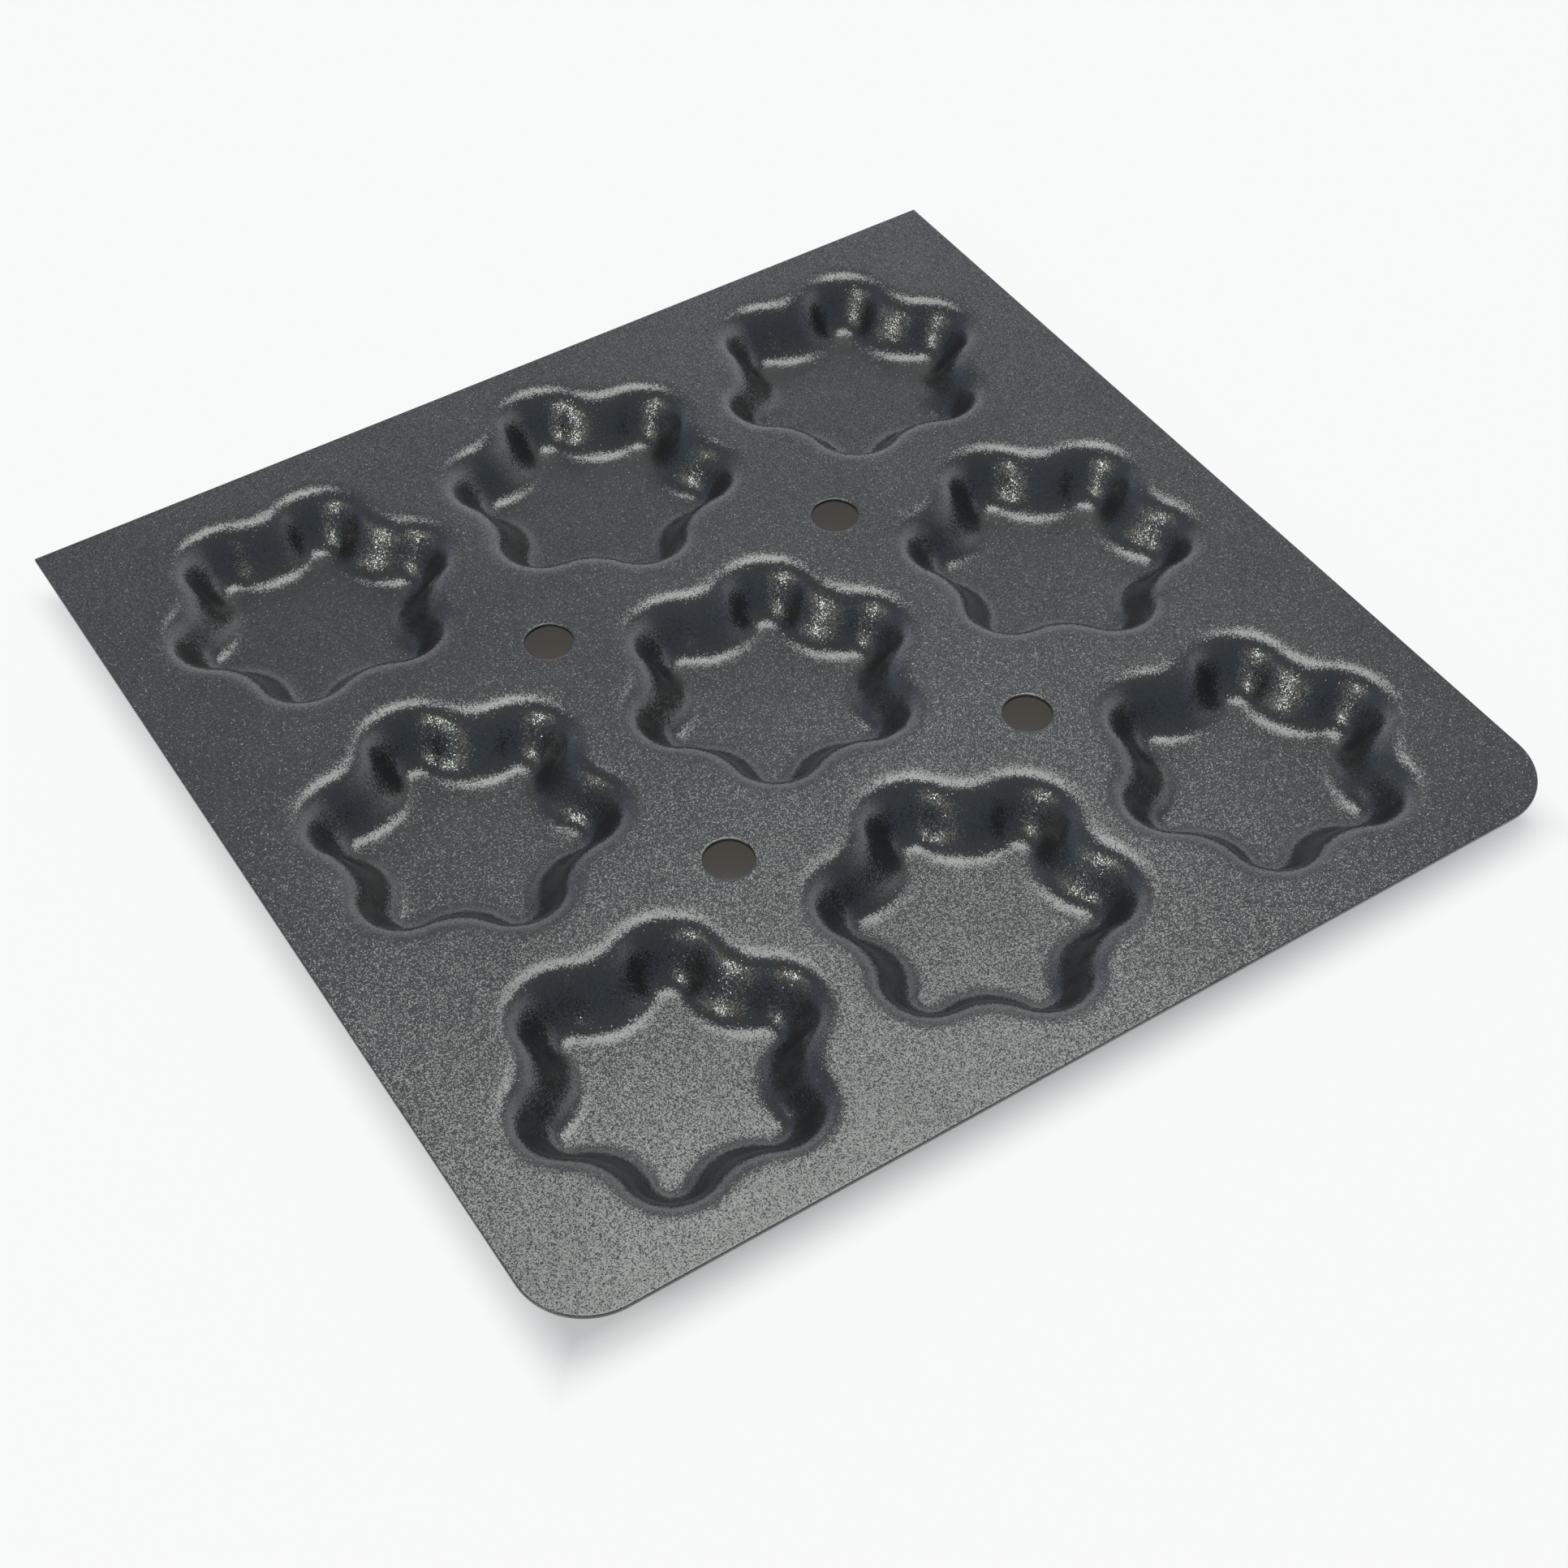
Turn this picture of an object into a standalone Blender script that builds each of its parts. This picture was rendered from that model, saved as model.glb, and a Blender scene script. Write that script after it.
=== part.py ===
"""Moulding plate pressed from one sheet: nine six-petal cups in three rows, with four steam holes between them.

Metres, +Z up. The origin is under the middle of the plate, on the surface that the cups stand on. +Y points
to the edge with the square corners, and +X runs along that edge.
"""

import math

import bmesh
import bpy
from mathutils import Matrix, Vector

# Sheet
PLATE_WIDTH = 0.241
PLATE_DEPTH = 0.239
SHEET = 0.001
CORNER_RADIUS = 0.015
CORNER_STEPS = 6

# Cup, measured on the upper face of the sheet: the rim outline is where the web starts to bend down, and the
# floor outline where the wall has levelled out. A roll is how far the wall's curve is drawn out at that end.
CUP_DEPTH = 0.0114
PETALS = 6
RIM_TIP = 0.0356
RIM_NOTCH = 0.0301
RIM_PETAL_RADIUS = 0.0133
RIM_ROLL = 0.0062
FLOOR_TIP = 0.0231
FLOOR_NOTCH = 0.0161
FLOOR_PETAL_RADIUS = 0.0018
FLOOR_ROLL = 0.0066

# Cup grid, with how far each press stroke landed from its grid point: (column, row) to (x, y)
COLUMN_PITCH = 0.0735
ROW_PITCH = 0.0763
STROKES = {
    (-1, 1): (0.0007, -0.0005),
    (0, 1): (-0.0003, -0.0003),
    (1, 1): (-0.0009, 0.0011),
    (-1, 0): (-0.0015, -0.0003),
    (0, 0): (0.0007, 0.0003),
    (1, 0): (0.0028, 0.0009),
    (-1, -1): (0.0019, -0.0005),
    (0, -1): (0.0015, 0.0008),
    (1, -1): (0.0002, 0.0008),
}

# Steam holes
HOLE_RADIUS = 0.0054
HOLE_PITCH_X = 0.075
HOLE_PITCH_Y = 0.0744
HOLES_OFF_X = 0.0015
HOLES_OFF_Y = -0.004
HOLE_STEPS = 20

# Fineness of the faceted surface
ARC_STEPS = 5
WALL_STEPS = 4

TOP = SHEET + CUP_DEPTH
COATING = (0.075, 0.077, 0.082, 1.0)


def clear_scene():
    for obj in list(bpy.data.objects):
        bpy.data.objects.remove(obj, do_unlink=True)


def coated_metal():
    material = bpy.data.materials.new("dark_coated_metal")
    material.use_nodes = True
    shader = material.node_tree.nodes["Principled BSDF"]
    shader.inputs["Base Color"].default_value = COATING
    shader.inputs["Metallic"].default_value = 0.6
    shader.inputs["Roughness"].default_value = 0.5
    return material


def plate_outline():
    """The cut edge, anticlockwise: square corners on the +Y edge and round ones on the -Y edge."""
    x = PLATE_WIDTH / 2
    y = PLATE_DEPTH / 2
    points = [(x, y), (-x, y)]
    for side, first in ((-1, math.pi), (1, 1.5 * math.pi)):
        centre_x = side * (x - CORNER_RADIUS)
        centre_y = CORNER_RADIUS - y
        for step in range(CORNER_STEPS + 1):
            angle = first + 0.5 * math.pi * step / CORNER_STEPS
            points.append((
                centre_x + CORNER_RADIUS * math.cos(angle),
                centre_y + CORNER_RADIUS * math.sin(angle),
            ))
    return points


def hole_outline(centre_x, centre_y):
    angles = (2 * math.pi * step / HOLE_STEPS for step in range(HOLE_STEPS))
    return [(centre_x + HOLE_RADIUS * math.cos(a), centre_y + HOLE_RADIUS * math.sin(a)) for a in angles]


def flower_outline(tip, notch, petal_radius):
    """(x, y, outward x, outward y) round a flower outline: petal arcs joined by notch arcs tangent to both."""
    half_petal = math.pi / PETALS
    petal_centre = tip - petal_radius
    across = petal_centre * math.sin(half_petal)
    inset = notch - petal_centre * math.cos(half_petal)
    notch_radius = (across**2 + inset**2 - petal_radius**2) / (2 * (petal_radius - inset))
    notch_centre = notch + notch_radius
    sweep = math.atan2(
        notch_centre * math.sin(half_petal),
        notch_centre * math.cos(half_petal) - petal_centre,
    )
    points = []
    for petal in range(PETALS):
        heading = 2 * half_petal * petal
        for step in range(ARC_STEPS):
            angle = heading + sweep * (2 * step / ARC_STEPS - 1)
            x = petal_centre * math.cos(heading) + petal_radius * math.cos(angle)
            y = petal_centre * math.sin(heading) + petal_radius * math.sin(angle)
            points.append((x, y, math.cos(angle), math.sin(angle)))
        between = heading + half_petal
        for step in range(ARC_STEPS):
            angle = between - (sweep - half_petal) * (2 * step / ARC_STEPS - 1)
            x = notch_centre * math.cos(between) - notch_radius * math.cos(angle)
            y = notch_centre * math.sin(between) - notch_radius * math.sin(angle)
            points.append((x, y, math.cos(angle), math.sin(angle)))
    return points


def cubic(start, leave, arrive, end, share):
    """The point at a share of the way along a Bezier curve."""
    rest = 1 - share
    weights = (rest**3, 3 * rest**2 * share, 3 * rest * share**2, share**3)
    return sum((weight * point for weight, point in zip(weights, (start, leave, arrive, end))), Vector())


def cup_rings():
    """A cup's upper surface about its own centre, as rings of points from the web inwards to the floor."""
    rim = flower_outline(RIM_TIP, RIM_NOTCH, RIM_PETAL_RADIUS)
    floor = flower_outline(FLOOR_TIP, FLOOR_NOTCH, FLOOR_PETAL_RADIUS)
    columns = []
    for (rim_x, rim_y, rim_out_x, rim_out_y), (floor_x, floor_y, floor_out_x, floor_out_y) in zip(rim, floor):
        start = Vector((rim_x, rim_y, TOP))
        end = Vector((floor_x, floor_y, SHEET))
        leave = start - RIM_ROLL * Vector((rim_out_x, rim_out_y, 0))
        arrive = end + FLOOR_ROLL * Vector((floor_out_x, floor_out_y, 0))
        columns.append([cubic(start, leave, arrive, end, step / WALL_STEPS) for step in range(WALL_STEPS + 1)])
    return list(zip(*columns))


def closed_loop(mesh, points):
    verts = [mesh.verts.new(point) for point in points]
    edges = [mesh.edges.new((a, b)) for a, b in zip(verts, verts[1:] + verts[:1])]
    return verts, edges


def add_cup(mesh, rings, placing):
    """Skins one cup and returns the edges of its outermost ring, which the web joins."""
    outer, web_edges = closed_loop(mesh, [placing @ point for point in rings[0]])
    for points in rings[1:]:
        inner = [mesh.verts.new(placing @ point) for point in points]
        for index, vert in enumerate(outer):
            following = (index + 1) % len(outer)
            mesh.faces.new((vert, outer[following], inner[following], inner[index]))
        outer = inner
    mesh.faces.new(outer)
    return web_edges


def pressed_surface():
    """The sheet's upper face as one open surface."""
    mesh = bmesh.new()
    edges = closed_loop(mesh, [(x, y, TOP) for x, y in plate_outline()])[1]
    for column in (-0.5, 0.5):
        for row in (-0.5, 0.5):
            circle = hole_outline(HOLES_OFF_X + column * HOLE_PITCH_X, HOLES_OFF_Y + row * HOLE_PITCH_Y)
            edges += closed_loop(mesh, [(x, y, TOP) for x, y in circle])[1]
    rings = cup_rings()
    for (column, row), (off_x, off_y) in STROKES.items():
        turned = math.pi / PETALS if (column + row) % 2 else 0.0
        centre = Vector((column * COLUMN_PITCH + off_x, row * ROW_PITCH + off_y, 0))
        edges += add_cup(mesh, rings, Matrix.Translation(centre) @ Matrix.Rotation(turned, 4, "Z"))
    web = bmesh.ops.triangle_fill(mesh, use_beauty=True, edges=edges, normal=(0, 0, 1))["geom"]
    downward = [item for item in web if isinstance(item, bmesh.types.BMFace) and item.normal.z < 0]
    bmesh.ops.reverse_faces(mesh, faces=downward)
    surface = bpy.data.meshes.new("pressed_surface")
    mesh.to_mesh(surface)
    mesh.free()
    return surface


def build_plate(collection):
    plate = bpy.data.objects.new("mould_plate", pressed_surface())
    collection.objects.link(plate)
    plate.data.materials.append(coated_metal())
    plate.data.shade_smooth()
    plate.data.set_sharp_from_angle(angle=math.radians(35))
    thickness = plate.modifiers.new("sheet", "SOLIDIFY")
    thickness.solidify_mode = "NON_MANIFOLD"
    thickness.nonmanifold_thickness_mode = "CONSTRAINTS"
    thickness.thickness = SHEET
    thickness.offset = -1.0
    return plate


def main():
    clear_scene()
    collection = bpy.data.collections.new("idli_tray")
    bpy.context.scene.collection.children.link(collection)
    build_plate(collection)


main()
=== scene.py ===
"""Looks of the moulding plate: one coated sheet with nine pressed flower cups and four punched steam holes.

The plate is built again here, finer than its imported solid, from the same sizes. It is in metres, in the
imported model's frame.
"""

import math

import bmesh
import bpy
from mathutils import Matrix, Quaternion, Vector

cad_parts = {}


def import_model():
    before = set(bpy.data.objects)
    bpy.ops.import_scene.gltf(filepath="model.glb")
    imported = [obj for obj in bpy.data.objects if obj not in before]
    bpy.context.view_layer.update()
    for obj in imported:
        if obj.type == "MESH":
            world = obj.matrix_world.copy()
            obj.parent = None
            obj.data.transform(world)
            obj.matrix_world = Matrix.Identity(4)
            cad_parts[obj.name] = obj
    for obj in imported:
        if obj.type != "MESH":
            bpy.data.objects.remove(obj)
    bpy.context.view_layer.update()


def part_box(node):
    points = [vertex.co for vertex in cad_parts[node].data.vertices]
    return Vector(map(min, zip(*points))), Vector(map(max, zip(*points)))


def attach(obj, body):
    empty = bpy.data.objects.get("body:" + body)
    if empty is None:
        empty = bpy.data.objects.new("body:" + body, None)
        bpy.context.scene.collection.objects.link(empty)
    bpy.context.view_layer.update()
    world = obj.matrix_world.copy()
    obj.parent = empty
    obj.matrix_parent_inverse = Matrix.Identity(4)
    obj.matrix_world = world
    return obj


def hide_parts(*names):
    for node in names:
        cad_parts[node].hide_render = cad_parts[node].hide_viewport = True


NODE = "mould_plate"

# Sheet
SHEET = 0.001
CORNER_RADIUS = 0.015
CORNER_STEPS = 24
WELD = 0.00001

# Lip: every cut edge is rounded off, and bordered by a narrow strip that the wide web ends short of
LIP_ROUNDING = 0.00025
LIP_STEPS = 3
LIP_ANGLE = math.radians(60)
LIP_STRIP = 0.0008
FLAT_FACE_WEIGHT = 100

# Cup, measured on the upper face of the sheet
CUP_DEPTH = 0.0114
PETALS = 6
RIM_TIP = 0.0356
RIM_NOTCH = 0.0301
RIM_PETAL_RADIUS = 0.0133
RIM_ROLL = 0.0062
FLOOR_TIP = 0.0231
FLOOR_NOTCH = 0.0161
FLOOR_PETAL_RADIUS = 0.0018
FLOOR_ROLL = 0.0066
ARC_STEPS = 14
WALL_STEPS = 18
CURVE_STEPS = 40

# How far the sheet's bend eases in on both sides of the rim and floor outlines
RIM_EASE = 0.0021
FLOOR_EASE = 0.0013
EASE_SAMPLES = 4

# Cup grid, with how far each press stroke landed from its grid point: (column, row) to (x, y)
COLUMN_PITCH = 0.0735
ROW_PITCH = 0.0763
STROKES = {
    (-1, 1): (0.0007, -0.0005),
    (0, 1): (-0.0003, -0.0003),
    (1, 1): (-0.0009, 0.0011),
    (-1, 0): (-0.0015, -0.0003),
    (0, 0): (0.0007, 0.0003),
    (1, 0): (0.0028, 0.0009),
    (-1, -1): (0.0019, -0.0005),
    (0, -1): (0.0015, 0.0008),
    (1, -1): (0.0002, 0.0008),
}

# Steam holes
HOLE_RADIUS = 0.0054
HOLE_PITCH_X = 0.075
HOLE_PITCH_Y = 0.0744
HOLES_OFF_X = 0.0015
HOLES_OFF_Y = -0.004
HOLE_STEPS = 64

TOP = SHEET + CUP_DEPTH

# Coat: dark paint full of fine flakes, most of which lie almost flat while a few stand up
PAINT = (0.111, 0.111, 0.111)
PAINT_METAL = 0.82
PAINT_ROUGHNESS = 0.2
FLAKE_SIZE = 0.00022
FLAKE_TILT = 0.135
STEEP_FLAKE_TILT = 0.46
STEEP_FLAKE_POWER = 9.0
FLAKE_SHADES = (0.88, 1.12)

# Unevenness of the coat: wide clouds of lighter and darker paint, and a faint orange peel
CLOUD_SIZE = 0.03
CLOUD_DETAIL = 3.0
CLOUD_RANGE = (0.3, 0.7)
CLOUD_SHADES = (0.92, 1.08)
PEEL_SIZE = 0.0009
PEEL_DETAIL = 1.0
PEEL_HEIGHT = 0.000002

# Marks that use has left on the coat: (x, y) of both ends and the width
SCRATCHED = (0.55, 0.55, 0.54, 1.0)
SCRATCHES = (
    ((-0.0421, -0.0959), (-0.0400, -0.0973), 0.00022),
    ((0.1016, -0.0891), (0.1008, -0.0919), 0.00022),
    ((0.0812, -0.0363), (0.0821, -0.0378), 0.00020),
    ((0.1111, -0.1161), (0.1122, -0.1168), 0.00035),
)

# Floor, and its tone where the room's light reaches it, with a painted shade as its tone in the dark under
# the plate
FLOOR_HALF = 20.0
FLOOR = (0.90, 0.90, 0.90, 1.0)
FLOOR_ROUGHNESS = 0.9
FLOOR_SHINE = 0.1
FLOOR_OPEN = (0.945, 0.948, 0.950, 1.0)
FLOOR_PAINTED_SHADE = (0.139, 0.129, 0.105, 1.0)

# How much of that tone shows, and how far past the plate's edges each change begins and ends. The glowing
# share rising past the edges paints the plate's shadow lighter and narrower there.
GLOW_UNDER = 0.38
GLOW_OPEN = 0.97
GLOW_FADE = (-0.006, 0.0052)
TONE_FADE = (-0.024, -0.012)

# Room, whose fades are cosines of the angle from a side, and sines of the height
ROOM_NEAR = (0.215, 0.275, 0.345)
ROOM_SIDES = (
    ((0.84, 0.54, 0.0), (0.805, 0.78, 0.75)),
    ((-0.17, 0.98, 0.0), (0.04, 0.06, 0.09)),
)
ROOM_SIDE_FADE = (-0.05, 0.9)
ROOM_OVERHEAD = (0.27, 0.285, 0.32, 1.0)
ROOM_OVERHEAD_FADE = (0.4, 0.8)
ROOM_FOOT_FADE = (0.03, 0.12)

# Lamps: (place, size, power, colour, roll)
LAMPS = {
    "ceiling": ((0.20, 0.22, 1.2), (0.80, 0.78), 7.2, (0.928, 1.0, 0.935), math.radians(42.3)),
    "window": ((-1.30, -0.255, 0.79), (0.22, 0.12), 2.5, (0.95, 1.0, 0.91), 0.0),
    "warm_wall": ((-1.30, -0.255, 0.79), (2.0, 0.12), 2.0, (1.0, 0.88, 0.62), 0.0),
}

# Photograph's camera: where it stands above the plate's upper face, and its axes
CAMERA_OVER_PLATE = Vector((-0.21432, -0.34291, 0.41222))
CAMERA_RIGHT = Vector((0.84109, -0.54087, -0.00483))
CAMERA_FORWARD = Vector((0.35860, 0.56429, -0.74363))
CAMERA_SENSOR = 36.0
CAMERA_LENS = 61.16


class Tree:
    """A node tree, with one short call for each node."""

    def __init__(self, tree):
        self.nodes = tree.nodes
        self.links = tree.links

    def feed(self, socket, value):
        """Links a socket to another node's output, or sets it to a plain value."""
        if isinstance(value, bpy.types.NodeSocket):
            self.links.new(value, socket)
        else:
            socket.default_value = value

    def add(self, kind, settings=(), **sockets):
        """Makes a node and feeds the sockets named, with _ for a space."""
        node = self.nodes.new(kind)
        for name, value in dict(settings).items():
            setattr(node, name, value)
        for name, value in sockets.items():
            socket = next(s for s in node.inputs if s.enabled and s.name.replace(" ", "_") == name)
            self.feed(socket, value)
        return node

    def worked(self, kind, operation, *values):
        """What a node for sums makes of some values."""
        node = self.add(kind, {"operation": operation})
        for socket, value in zip((s for s in node.inputs if s.enabled), values):
            self.feed(socket, value)
        return next(s for s in node.outputs if s.enabled)

    def number(self, operation, *values):
        return self.worked("ShaderNodeMath", operation, *values)

    def vector(self, operation, *values):
        return self.worked("ShaderNodeVectorMath", operation, *values)

    def fade(self, value, between, to=(0.0, 1.0), curve="LINEAR"):
        """A number that goes from one end of a range to the other while a value crosses two bounds."""
        return self.add(
            "ShaderNodeMapRange",
            {"interpolation_type": curve},
            Value=value,
            From_Min=between[0],
            From_Max=between[1],
            To_Min=to[0],
            To_Max=to[1],
        ).outputs["Result"]

    def blend(self, share, first, second):
        """One colour passing into another as the share goes from 0 to 1."""
        mix = self.add("ShaderNodeMix", {"data_type": "RGBA"}, Factor=share, A=first, B=second)
        return mix.outputs["Result"]


def flower_outline(tip, notch, petal_radius):
    """(x, y, outward x, outward y) round a flower outline: petal arcs, and notch arcs tangent to both."""
    half_petal = math.pi / PETALS
    petal_centre = tip - petal_radius
    across = petal_centre * math.sin(half_petal)
    inset = notch - petal_centre * math.cos(half_petal)
    notch_radius = (across**2 + inset**2 - petal_radius**2) / (2 * (petal_radius - inset))
    notch_centre = notch + notch_radius
    sweep = math.atan2(
        notch_centre * math.sin(half_petal),
        notch_centre * math.cos(half_petal) - petal_centre,
    )
    points = []
    for petal in range(PETALS):
        heading = 2 * half_petal * petal
        for step in range(ARC_STEPS):
            angle = heading + sweep * (2 * step / ARC_STEPS - 1)
            x = petal_centre * math.cos(heading) + petal_radius * math.cos(angle)
            y = petal_centre * math.sin(heading) + petal_radius * math.sin(angle)
            points.append((x, y, math.cos(angle), math.sin(angle)))
        between = heading + half_petal
        for step in range(ARC_STEPS):
            angle = between - (sweep - half_petal) * (2 * step / ARC_STEPS - 1)
            x = notch_centre * math.cos(between) - notch_radius * math.cos(angle)
            y = notch_centre * math.sin(between) - notch_radius * math.sin(angle)
            points.append((x, y, math.cos(angle), math.sin(angle)))
    return points


def cubic(start, leave, arrive, end, share):
    """The point at a share of the way along a Bezier curve."""
    rest = 1 - share
    weights = (rest**3, 3 * rest**2 * share, 3 * rest * share**2, share**3)
    return sum((weight * point for weight, point in zip(weights, (start, leave, arrive, end))), Vector())


def along(path, distance):
    """The point at a level distance from the path's start, or straight on past its end."""
    for first, second in zip(path, path[1:]):
        step = (second - first).xy.length
        if distance <= step:
            break
        distance -= step
    else:
        distance += step
    return first.lerp(second, distance / step)


def eased(path, length):
    """Points down a wall, each one the mean of the wall's points on both sides of it.

    The path has straight ends of twice the ease, and the length is the wall's own, without them.
    """
    points = []
    for step in range(WALL_STEPS + 1):
        share = step / WALL_STEPS
        reach = RIM_EASE + (FLOOR_EASE - RIM_EASE) * share
        middle = RIM_EASE + (length + RIM_EASE + FLOOR_EASE) * share
        near = [
            along(path, middle + reach * sample / EASE_SAMPLES)
            for sample in range(-EASE_SAMPLES, EASE_SAMPLES + 1)
        ]
        points.append(sum(near, Vector()) / len(near))
    return points


def cup_rings():
    """A cup's upper surface about its own centre, as rings of points from the web inwards to the floor."""
    rim = flower_outline(RIM_TIP, RIM_NOTCH, RIM_PETAL_RADIUS)
    floor = flower_outline(FLOOR_TIP, FLOOR_NOTCH, FLOOR_PETAL_RADIUS)
    columns = []
    for (rim_x, rim_y, rim_out_x, rim_out_y), (floor_x, floor_y, floor_out_x, floor_out_y) in zip(rim, floor):
        start = Vector((rim_x, rim_y, TOP))
        end = Vector((floor_x, floor_y, SHEET))
        rim_out = Vector((rim_out_x, rim_out_y, 0))
        floor_out = Vector((floor_out_x, floor_out_y, 0))
        leave = start - RIM_ROLL * rim_out
        arrive = end + FLOOR_ROLL * floor_out
        wall = [cubic(start, leave, arrive, end, step / CURVE_STEPS) for step in range(CURVE_STEPS + 1)]
        length = sum((second - first).xy.length for first, second in zip(wall, wall[1:]))
        path = [start + 2 * RIM_EASE * rim_out, *wall, end - 2 * FLOOR_EASE * floor_out]
        columns.append(eased(path, length))
    return list(zip(*columns))


def skin(mesh, rings):
    """Quads between rings of points, from the outermost ring inwards. Returns the last ring's vertices."""
    made = [[mesh.verts.new(point) for point in ring] for ring in rings]
    for outer, inner in zip(made, made[1:]):
        for index, vert in enumerate(outer):
            following = (index + 1) % len(outer)
            mesh.faces.new((vert, outer[following], inner[following], inner[index]))
    return made[-1]


def hidden_object(name, mesh):
    """An object that isn't in the scene yet."""
    data = bpy.data.meshes.new(name)
    mesh.to_mesh(data)
    mesh.free()
    return bpy.data.objects.new(name, data)


def mark_cut(data, cut_count):
    """Marks the edges of the first ring, which stay open where the sheet was cut."""
    cut = data.attributes.new("cut", "BOOLEAN", "EDGE")
    for edge in data.edges:
        cut.data[edge.index].value = max(edge.vertices) < cut_count


def cup_stamp():
    mesh = bmesh.new()
    mesh.faces.new(skin(mesh, cup_rings()))
    return hidden_object("cup_stamp", mesh)


def hole_stamp():
    """The strip of sheet round a punched hole, from its cut edge outwards."""
    mesh = bmesh.new()
    angles = [-2 * math.pi * step / HOLE_STEPS for step in range(HOLE_STEPS)]
    skin(mesh, [
        [Vector((radius * math.cos(angle), radius * math.sin(angle), TOP)) for angle in angles]
        for radius in (HOLE_RADIUS, HOLE_RADIUS + LIP_STRIP)
    ])
    stamp = hidden_object("hole_stamp", mesh)
    mark_cut(stamp.data, HOLE_STEPS)
    return stamp


def sheet_border(half_width, half_depth):
    """The strip of sheet along the cut outline: square corners on the +Y edge, round ones on the -Y edge."""
    rings = []
    for inset in (0.0, LIP_STRIP):
        x = half_width - inset
        y = half_depth - inset
        radius = CORNER_RADIUS - inset
        ring = [Vector((x, y, TOP)), Vector((-x, y, TOP))]
        for side, first in ((-1, math.pi), (1, 1.5 * math.pi)):
            for step in range(CORNER_STEPS + 1):
                angle = first + 0.5 * math.pi * step / CORNER_STEPS
                ring.append(Vector((
                    side * (x - radius) + radius * math.cos(angle),
                    radius - y + radius * math.sin(angle),
                    TOP,
                )))
        rings.append(ring)
    mesh = bmesh.new()
    skin(mesh, rings)
    border = hidden_object("mould_plate_coated", mesh)
    mark_cut(border.data, len(rings[0]))
    return border


def stroke_points():
    """Where each press stroke landed, with the turn of its cup."""
    data = bpy.data.meshes.new("strokes")
    places = [
        (column * COLUMN_PITCH + x, row * ROW_PITCH + y, 0)
        for (column, row), (x, y) in STROKES.items()
    ]
    data.from_pydata(places, [], [])
    turn = data.attributes.new("turn", "FLOAT", "POINT")
    for index, (column, row) in enumerate(STROKES):
        turn.data[index].value = math.pi / PETALS if (column + row) % 2 else 0.0
    return bpy.data.objects.new("strokes", data)


def press_tree():
    """Stamps cups and holes into the sheet's border strip, then fills the web between them."""
    group = bpy.data.node_groups.new("press", "GeometryNodeTree")
    face = group.interface
    face.new_socket("Border", in_out="INPUT", socket_type="NodeSocketGeometry")
    for name, kind in (
        ("Cup", "Object"),
        ("Hole", "Object"),
        ("Strokes", "Object"),
        ("Hole pitch X", "Float"),
        ("Hole pitch Y", "Float"),
        ("Holes centre", "Vector"),
        ("Web height", "Float"),
        ("Coat", "Material"),
    ):
        face.new_socket(name, in_out="INPUT", socket_type="NodeSocket" + kind)
    face.new_socket("Pressed sheet", in_out="OUTPUT", socket_type="NodeSocketGeometry")
    tree = Tree(group)
    given = group.nodes.new("NodeGroupInput").outputs

    def geometry(kind, **sockets):
        return tree.add(kind, **sockets).outputs["Geometry"]

    def shape_of(name):
        return geometry("GeometryNodeObjectInfo", Object=given[name])

    def attribute(kind, name):
        read = tree.add("GeometryNodeInputNamedAttribute", {"data_type": kind}, Name=name)
        return read.outputs["Attribute"]

    def joined(*parts):
        join = tree.add("GeometryNodeJoinGeometry")
        for part in parts:
            tree.feed(join.inputs["Geometry"], part)
        return join.outputs["Geometry"]

    turned = tree.add("ShaderNodeCombineXYZ", Z=attribute("FLOAT", "turn")).outputs["Vector"]
    cups = tree.add(
        "GeometryNodeInstanceOnPoints",
        Points=shape_of("Strokes"),
        Instance=shape_of("Cup"),
        Rotation=tree.add("FunctionNodeEulerToRotation", Euler=turned).outputs["Rotation"],
    ).outputs["Instances"]
    corners = tree.add(
        "GeometryNodeMeshGrid",
        Size_X=given["Hole pitch X"],
        Size_Y=given["Hole pitch Y"],
        Vertices_X=2,
        Vertices_Y=2,
    ).outputs["Mesh"]
    placed = geometry("GeometryNodeTransform", Geometry=corners, Translation=given["Holes centre"])
    holes = tree.add("GeometryNodeInstanceOnPoints", Points=placed, Instance=shape_of("Hole"))
    stamped = joined(given["Border"], cups, holes.outputs["Instances"])
    pressed = geometry("GeometryNodeRealizeInstances", Geometry=stamped)

    faces = tree.add("GeometryNodeInputMeshEdgeNeighbors").outputs["Face Count"]
    is_open = tree.add("FunctionNodeCompare", {"data_type": "INT", "operation": "EQUAL"}, A=faces, B=1)
    cut = attribute("BOOLEAN", "cut")
    joins_web = tree.worked("FunctionNodeBooleanMath", "NIMPLY", is_open.outputs["Result"], cut)
    loops = tree.add("GeometryNodeMeshToCurve", Mesh=pressed, Selection=joins_web).outputs["Curve"]
    flat = tree.add("GeometryNodeFillCurve", Curve=loops).outputs["Mesh"]
    lift = tree.add("ShaderNodeCombineXYZ", Z=given["Web height"]).outputs["Vector"]
    web = geometry("GeometryNodeTransform", Geometry=flat, Translation=lift)

    whole = geometry("GeometryNodeMergeByDistance", Geometry=joined(pressed, web), Distance=WELD)
    smooth = geometry("GeometryNodeSetShadeSmooth", Geometry=whole)
    real = geometry("GeometryNodeRealizeInstances", Geometry=smooth)
    coated = geometry("GeometryNodeSetMaterial", Geometry=real, Material=given["Coat"])
    tree.feed(group.nodes.new("NodeGroupOutput").inputs["Pressed sheet"], coated)
    return group


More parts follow.
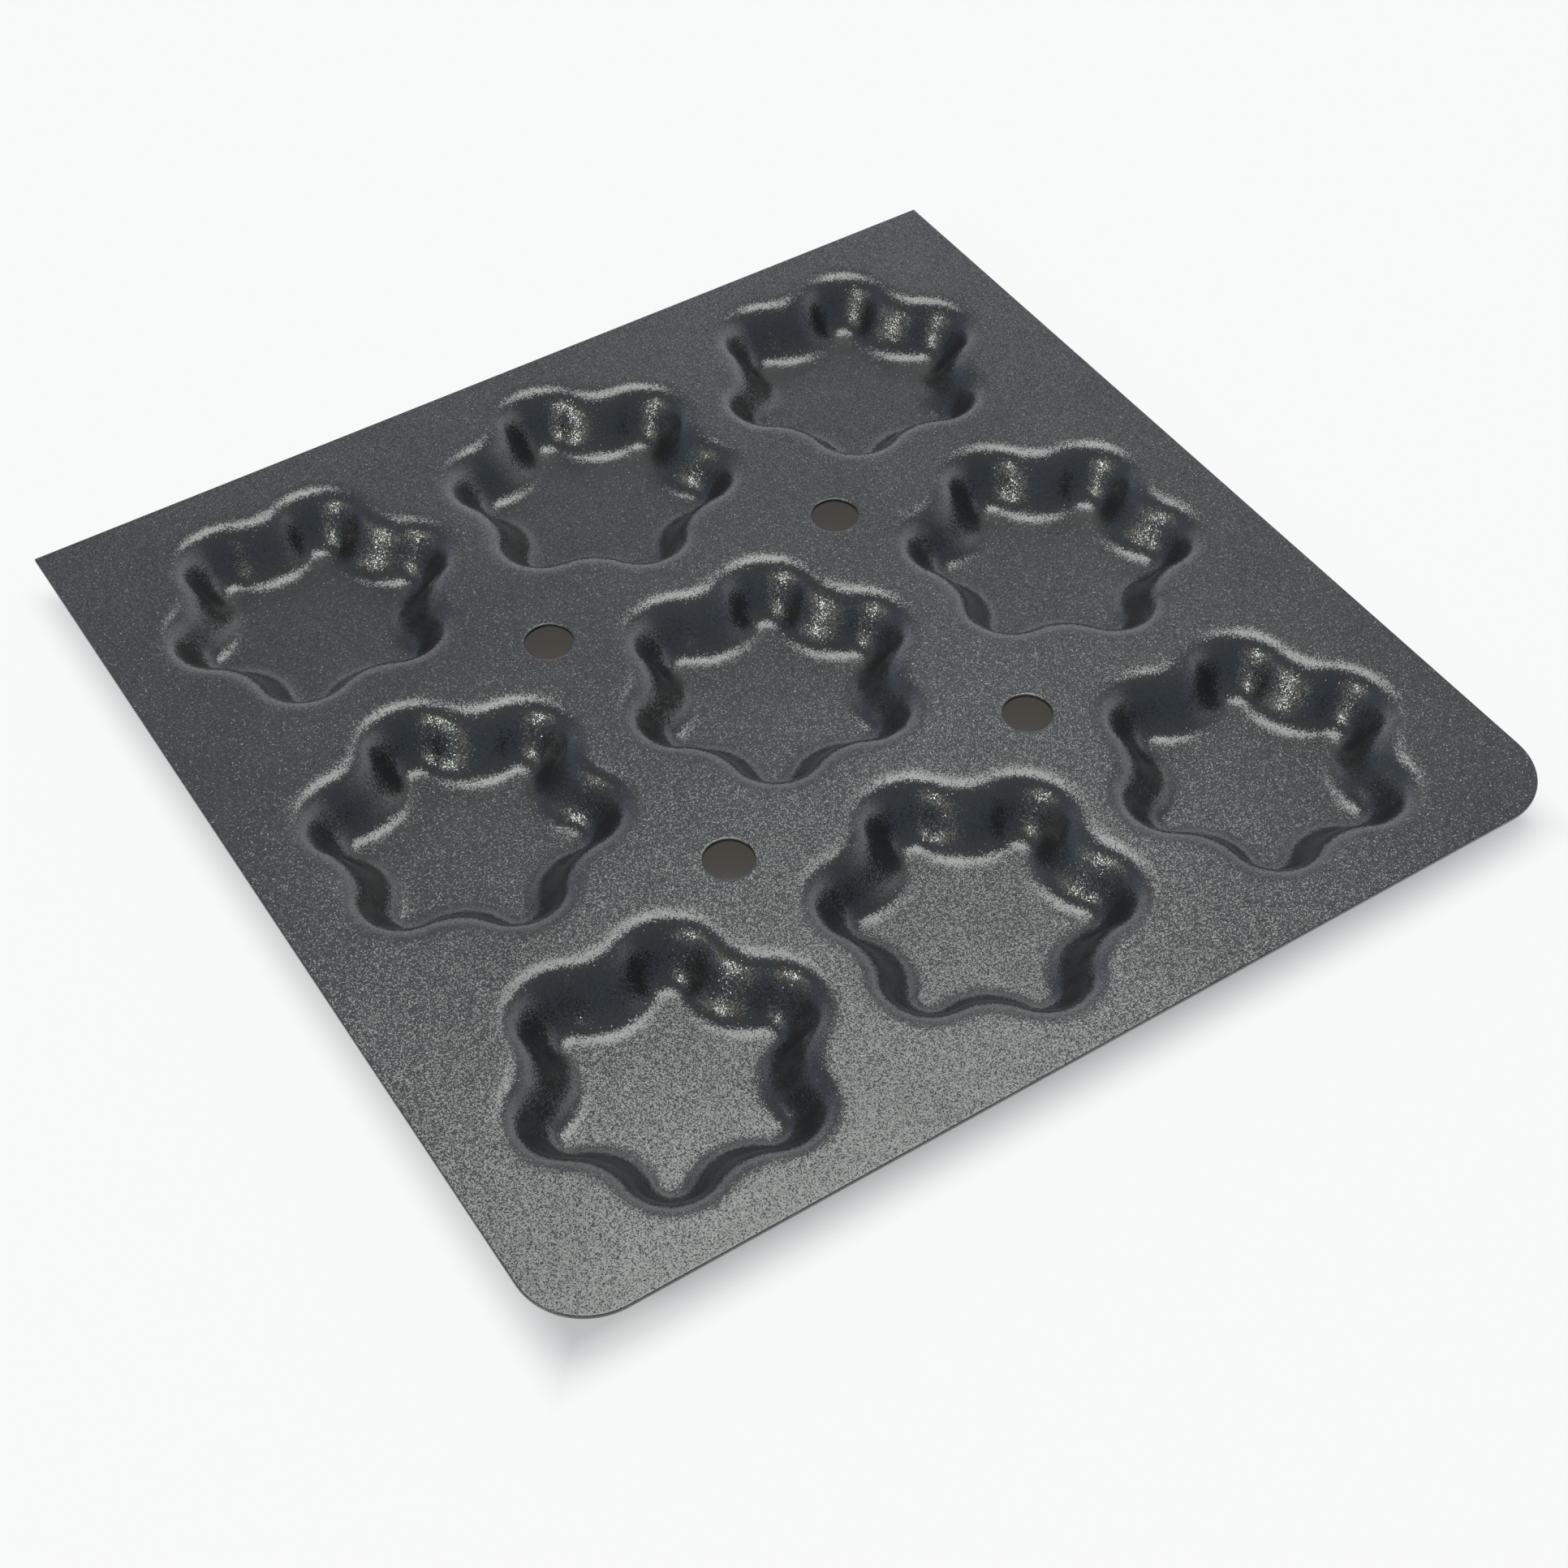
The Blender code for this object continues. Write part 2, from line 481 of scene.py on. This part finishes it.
def finished_copy(plate, coat):
    """The plate with its modifiers worked in, as a plain mesh with the coat all over."""
    depsgraph = bpy.context.evaluated_depsgraph_get()
    data = bpy.data.meshes.new_from_object(plate.evaluated_get(depsgraph), depsgraph=depsgraph)
    plate.modifiers.clear()
    plate.data = data
    data.materials.clear()
    data.materials.append(coat)
    for face in data.polygons:
        face.material_index = 0
    return plate


def pressed_plate(coat):
    low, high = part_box(NODE)
    plate = sheet_border((high.x - low.x) / 2, (high.y - low.y) / 2)
    bpy.context.collection.objects.link(plate)
    plate.data.materials.append(coat)
    press = plate.modifiers.new("press", "NODES")
    press.node_group = press_tree()
    sizes = {
        "Cup": cup_stamp(),
        "Hole": hole_stamp(),
        "Strokes": stroke_points(),
        "Hole pitch X": HOLE_PITCH_X,
        "Hole pitch Y": HOLE_PITCH_Y,
        "Holes centre": (HOLES_OFF_X, HOLES_OFF_Y, 0.0),
        "Web height": TOP,
        "Coat": coat,
    }
    for item in press.node_group.interface.items_tree:
        if item.name in sizes:
            press[item.identifier] = sizes[item.name]
    thickness = plate.modifiers.new("sheet", "SOLIDIFY")
    thickness.solidify_mode = "NON_MANIFOLD"
    thickness.nonmanifold_thickness_mode = "CONSTRAINTS"
    thickness.thickness = SHEET
    thickness.offset = -1.0
    lips = plate.modifiers.new("lips", "BEVEL")
    lips.limit_method = "ANGLE"
    lips.angle_limit = LIP_ANGLE
    lips.width = LIP_ROUNDING
    lips.segments = LIP_STEPS
    flat_web = plate.modifiers.new("flat_web", "WEIGHTED_NORMAL")
    flat_web.weight = FLAT_FACE_WEIGHT
    return finished_copy(plate, coat)


def flake_lean(tree, flakes):
    """How far each flake leans: two draws added give its direction, and a third how steep it is."""
    spot = flakes["Position"]
    second, steep = (
        tree.add("ShaderNodeTexWhiteNoise", {"noise_dimensions": "4D"}, Vector=spot, W=draw).outputs
        for draw in (1.0, 2.0)
    )
    centred = tree.vector("SUBTRACT", tree.vector("ADD", flakes["Color"], second["Color"]), (1.0, 1.0, 1.0))
    chance = tree.number("POWER", steep["Value"], STEEP_FLAKE_POWER)
    tilt = tree.fade(chance, (0.0, 1.0), (FLAKE_TILT, STEEP_FLAKE_TILT))
    return tree.vector("SCALE", centred, tilt)


def scratch_share(tree, place):
    """1 on a scratch's middle line, falling to 0 at its sides and ends."""
    marks = []
    for (x0, y0), (x1, y1), width in SCRATCHES:
        spot = tree.add(
            "ShaderNodeMapping",
            {"vector_type": "TEXTURE"},
            Vector=place,
            Location=((x0 + x1) / 2, (y0 + y1) / 2, 0.0),
            Rotation=(0.0, 0.0, math.atan2(y1 - y0, x1 - x0)),
            Scale=(math.hypot(x1 - x0, y1 - y0) / 2, width / 2, 1.0),
        ).outputs["Vector"]
        fall = tree.add("ShaderNodeTexGradient", {"gradient_type": "SPHERICAL"}, Vector=spot)
        marks.append(fall.outputs["Fac"])
    total = marks[0]
    for mark in marks[1:]:
        total = tree.number("MAXIMUM", total, mark)
    return total


def soft_noise(tree, place, size, detail):
    return tree.add("ShaderNodeTexNoise", Vector=place, Scale=1 / size, Detail=detail).outputs["Fac"]


def speckled_coat():
    """Dark non-stick paint, smooth and glossy, with fine flakes that sparkle where they catch a lamp."""
    material = bpy.data.materials.new("speckled_coat")
    material.use_nodes = True
    tree = Tree(material.node_tree)
    shader = material.node_tree.nodes["Principled BSDF"]
    place = tree.add("ShaderNodeTexCoord").outputs["Object"]
    flakes = tree.add("ShaderNodeTexVoronoi", Vector=place, Scale=1 / FLAKE_SIZE).outputs

    peel = soft_noise(tree, place, PEEL_SIZE, PEEL_DETAIL)
    bumps = tree.add("ShaderNodeBump", Strength=1.0, Distance=PEEL_HEIGHT, Height=peel)
    leaning = tree.vector("ADD", flake_lean(tree, flakes), bumps.outputs["Normal"])
    tree.feed(shader.inputs["Normal"], tree.vector("NORMALIZE", leaning))

    cloud = soft_noise(tree, place, CLOUD_SIZE, CLOUD_DETAIL)
    draw = tree.add("ShaderNodeSeparateColor", Color=flakes["Color"]).outputs["Green"]
    shade = tree.number(
        "MULTIPLY",
        tree.fade(cloud, CLOUD_RANGE, CLOUD_SHADES),
        tree.fade(draw, (0.0, 1.0), FLAKE_SHADES),
    )
    paint = tree.vector("SCALE", PAINT, shade)
    tree.feed(shader.inputs["Base Color"], tree.blend(scratch_share(tree, place), paint, SCRATCHED))
    tree.feed(shader.inputs["Roughness"], PAINT_ROUGHNESS)
    tree.feed(shader.inputs["Metallic"], PAINT_METAL)
    return material


def past_edges(tree):
    """How far a spot on the floor lies outside the plate's nearest edge, or less than 0 under the plate."""
    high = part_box(NODE)[1]
    place = tree.add("ShaderNodeTexCoord").outputs["Object"]
    past = tree.vector("SUBTRACT", tree.vector("ABSOLUTE", place), (high.x, high.y, 0.0))
    sides = tree.add("ShaderNodeSeparateXYZ", Vector=past).outputs
    return tree.number("MAXIMUM", sides["X"], sides["Y"])


def pale_floor():
    """Floor that keeps the plate's shadow in part, lifted towards white where the camera or a reflection sees
    it, with a painted shade under the plate and a painted lightening of the shadow at its edges.
    """
    mesh = bmesh.new()
    bmesh.ops.create_grid(mesh, x_segments=1, y_segments=1, size=FLOOR_HALF)
    floor = hidden_object("floor", mesh)
    bpy.context.collection.objects.link(floor)
    material = bpy.data.materials.new("pale_floor")
    material.use_nodes = True
    tree = Tree(material.node_tree)
    shader = material.node_tree.nodes["Principled BSDF"]
    tree.feed(shader.inputs["Base Color"], FLOOR)
    tree.feed(shader.inputs["Roughness"], FLOOR_ROUGHNESS)
    tree.feed(shader.inputs["Specular IOR Level"], FLOOR_SHINE)

    outside = past_edges(tree)
    # Painted shade: the floor's glowing tone turns dark and warm under the plate and stands in for the shade
    # there, passing into the pale open tone towards the edges
    tone = tree.blend(tree.fade(outside, TONE_FADE, curve="SMOOTHSTEP"), FLOOR_PAINTED_SHADE, FLOOR_OPEN)
    glow = tree.add("ShaderNodeEmission", Color=tone, Strength=1.0).outputs["Emission"]
    rays = tree.add("ShaderNodeLightPath").outputs
    mirrored = tree.number("MAXIMUM", rays["Is Camera Ray"], rays["Is Glossy Ray"])
    seen = tree.number("MAXIMUM", mirrored, rays["Is Transmission Ray"])
    # Painted light: the glowing share rises from under the plate to past its edges, so the shadow there is
    # partly the floor's own and partly painted lighter
    lift = tree.number("MULTIPLY", seen, tree.fade(outside, GLOW_FADE, (GLOW_UNDER, GLOW_OPEN)))
    lifted = tree.add("ShaderNodeMixShader", Fac=lift)
    tree.feed(lifted.inputs[1], shader.outputs["BSDF"])
    tree.feed(lifted.inputs[2], glow)
    tree.feed(material.node_tree.nodes["Material Output"].inputs["Surface"], lifted.outputs["Shader"])
    floor.data.materials.append(material)


def room():
    """Dim near the camera, bright on the far side, plain overhead, and as pale as the floor at its foot."""
    world = bpy.data.worlds.new("room")
    bpy.context.scene.world = world
    world.use_nodes = True
    tree = Tree(world.node_tree)
    direction = tree.add("ShaderNodeTexCoord").outputs["Generated"]
    walls = ROOM_NEAR
    for side, extra in ROOM_SIDES:
        share = tree.fade(tree.vector("DOT_PRODUCT", direction, side), ROOM_SIDE_FADE, curve="SMOOTHSTEP")
        walls = tree.vector("ADD", tree.vector("SCALE", extra, share), walls)
    height = tree.add("ShaderNodeSeparateXYZ", Vector=direction).outputs["Z"]
    upper = tree.blend(tree.fade(height, ROOM_OVERHEAD_FADE, curve="SMOOTHSTEP"), walls, ROOM_OVERHEAD)
    colour = tree.blend(tree.fade(height, ROOM_FOOT_FADE, curve="SMOOTHSTEP"), FLOOR_OPEN, upper)
    tree.feed(world.node_tree.nodes["Background"].inputs["Color"], colour)


def lamp(name, place, size, power, colour, roll):
    """An area lamp that looks at the plate, turned by its roll about the line to it."""
    data = bpy.data.lights.new(name, "AREA")
    data.shape = "RECTANGLE"
    data.size, data.size_y = size
    data.energy = power
    data.color = colour
    made = bpy.data.objects.new(name, data)
    bpy.context.collection.objects.link(made)
    made.location = place
    aim = (-Vector(place)).to_track_quat("-Z", "Y")
    made.rotation_euler = (aim @ Quaternion((0.0, 0.0, 1.0), roll)).to_euler()


def camera():
    right = CAMERA_RIGHT.normalized()
    forward = CAMERA_FORWARD.normalized()
    up = right.cross(forward)
    data = bpy.data.cameras.new("photo_camera")
    data.sensor_width = CAMERA_SENSOR
    data.lens = CAMERA_LENS
    made = bpy.data.objects.new("photo_camera", data)
    bpy.context.collection.objects.link(made)
    turn = Matrix((right, up, -forward)).transposed().to_4x4()
    upper_face = Vector((0, 0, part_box(NODE)[1].z))
    made.matrix_world = Matrix.Translation(CAMERA_OVER_PLATE + upper_face) @ turn
    bpy.context.scene.camera = made


def main():
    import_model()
    plate = pressed_plate(speckled_coat())
    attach(plate, "root")
    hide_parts(NODE)
    pale_floor()
    room()
    for name, settings in LAMPS.items():
        lamp(name, *settings)
    camera()
    bpy.context.scene.view_settings.view_transform = "Standard"


main()
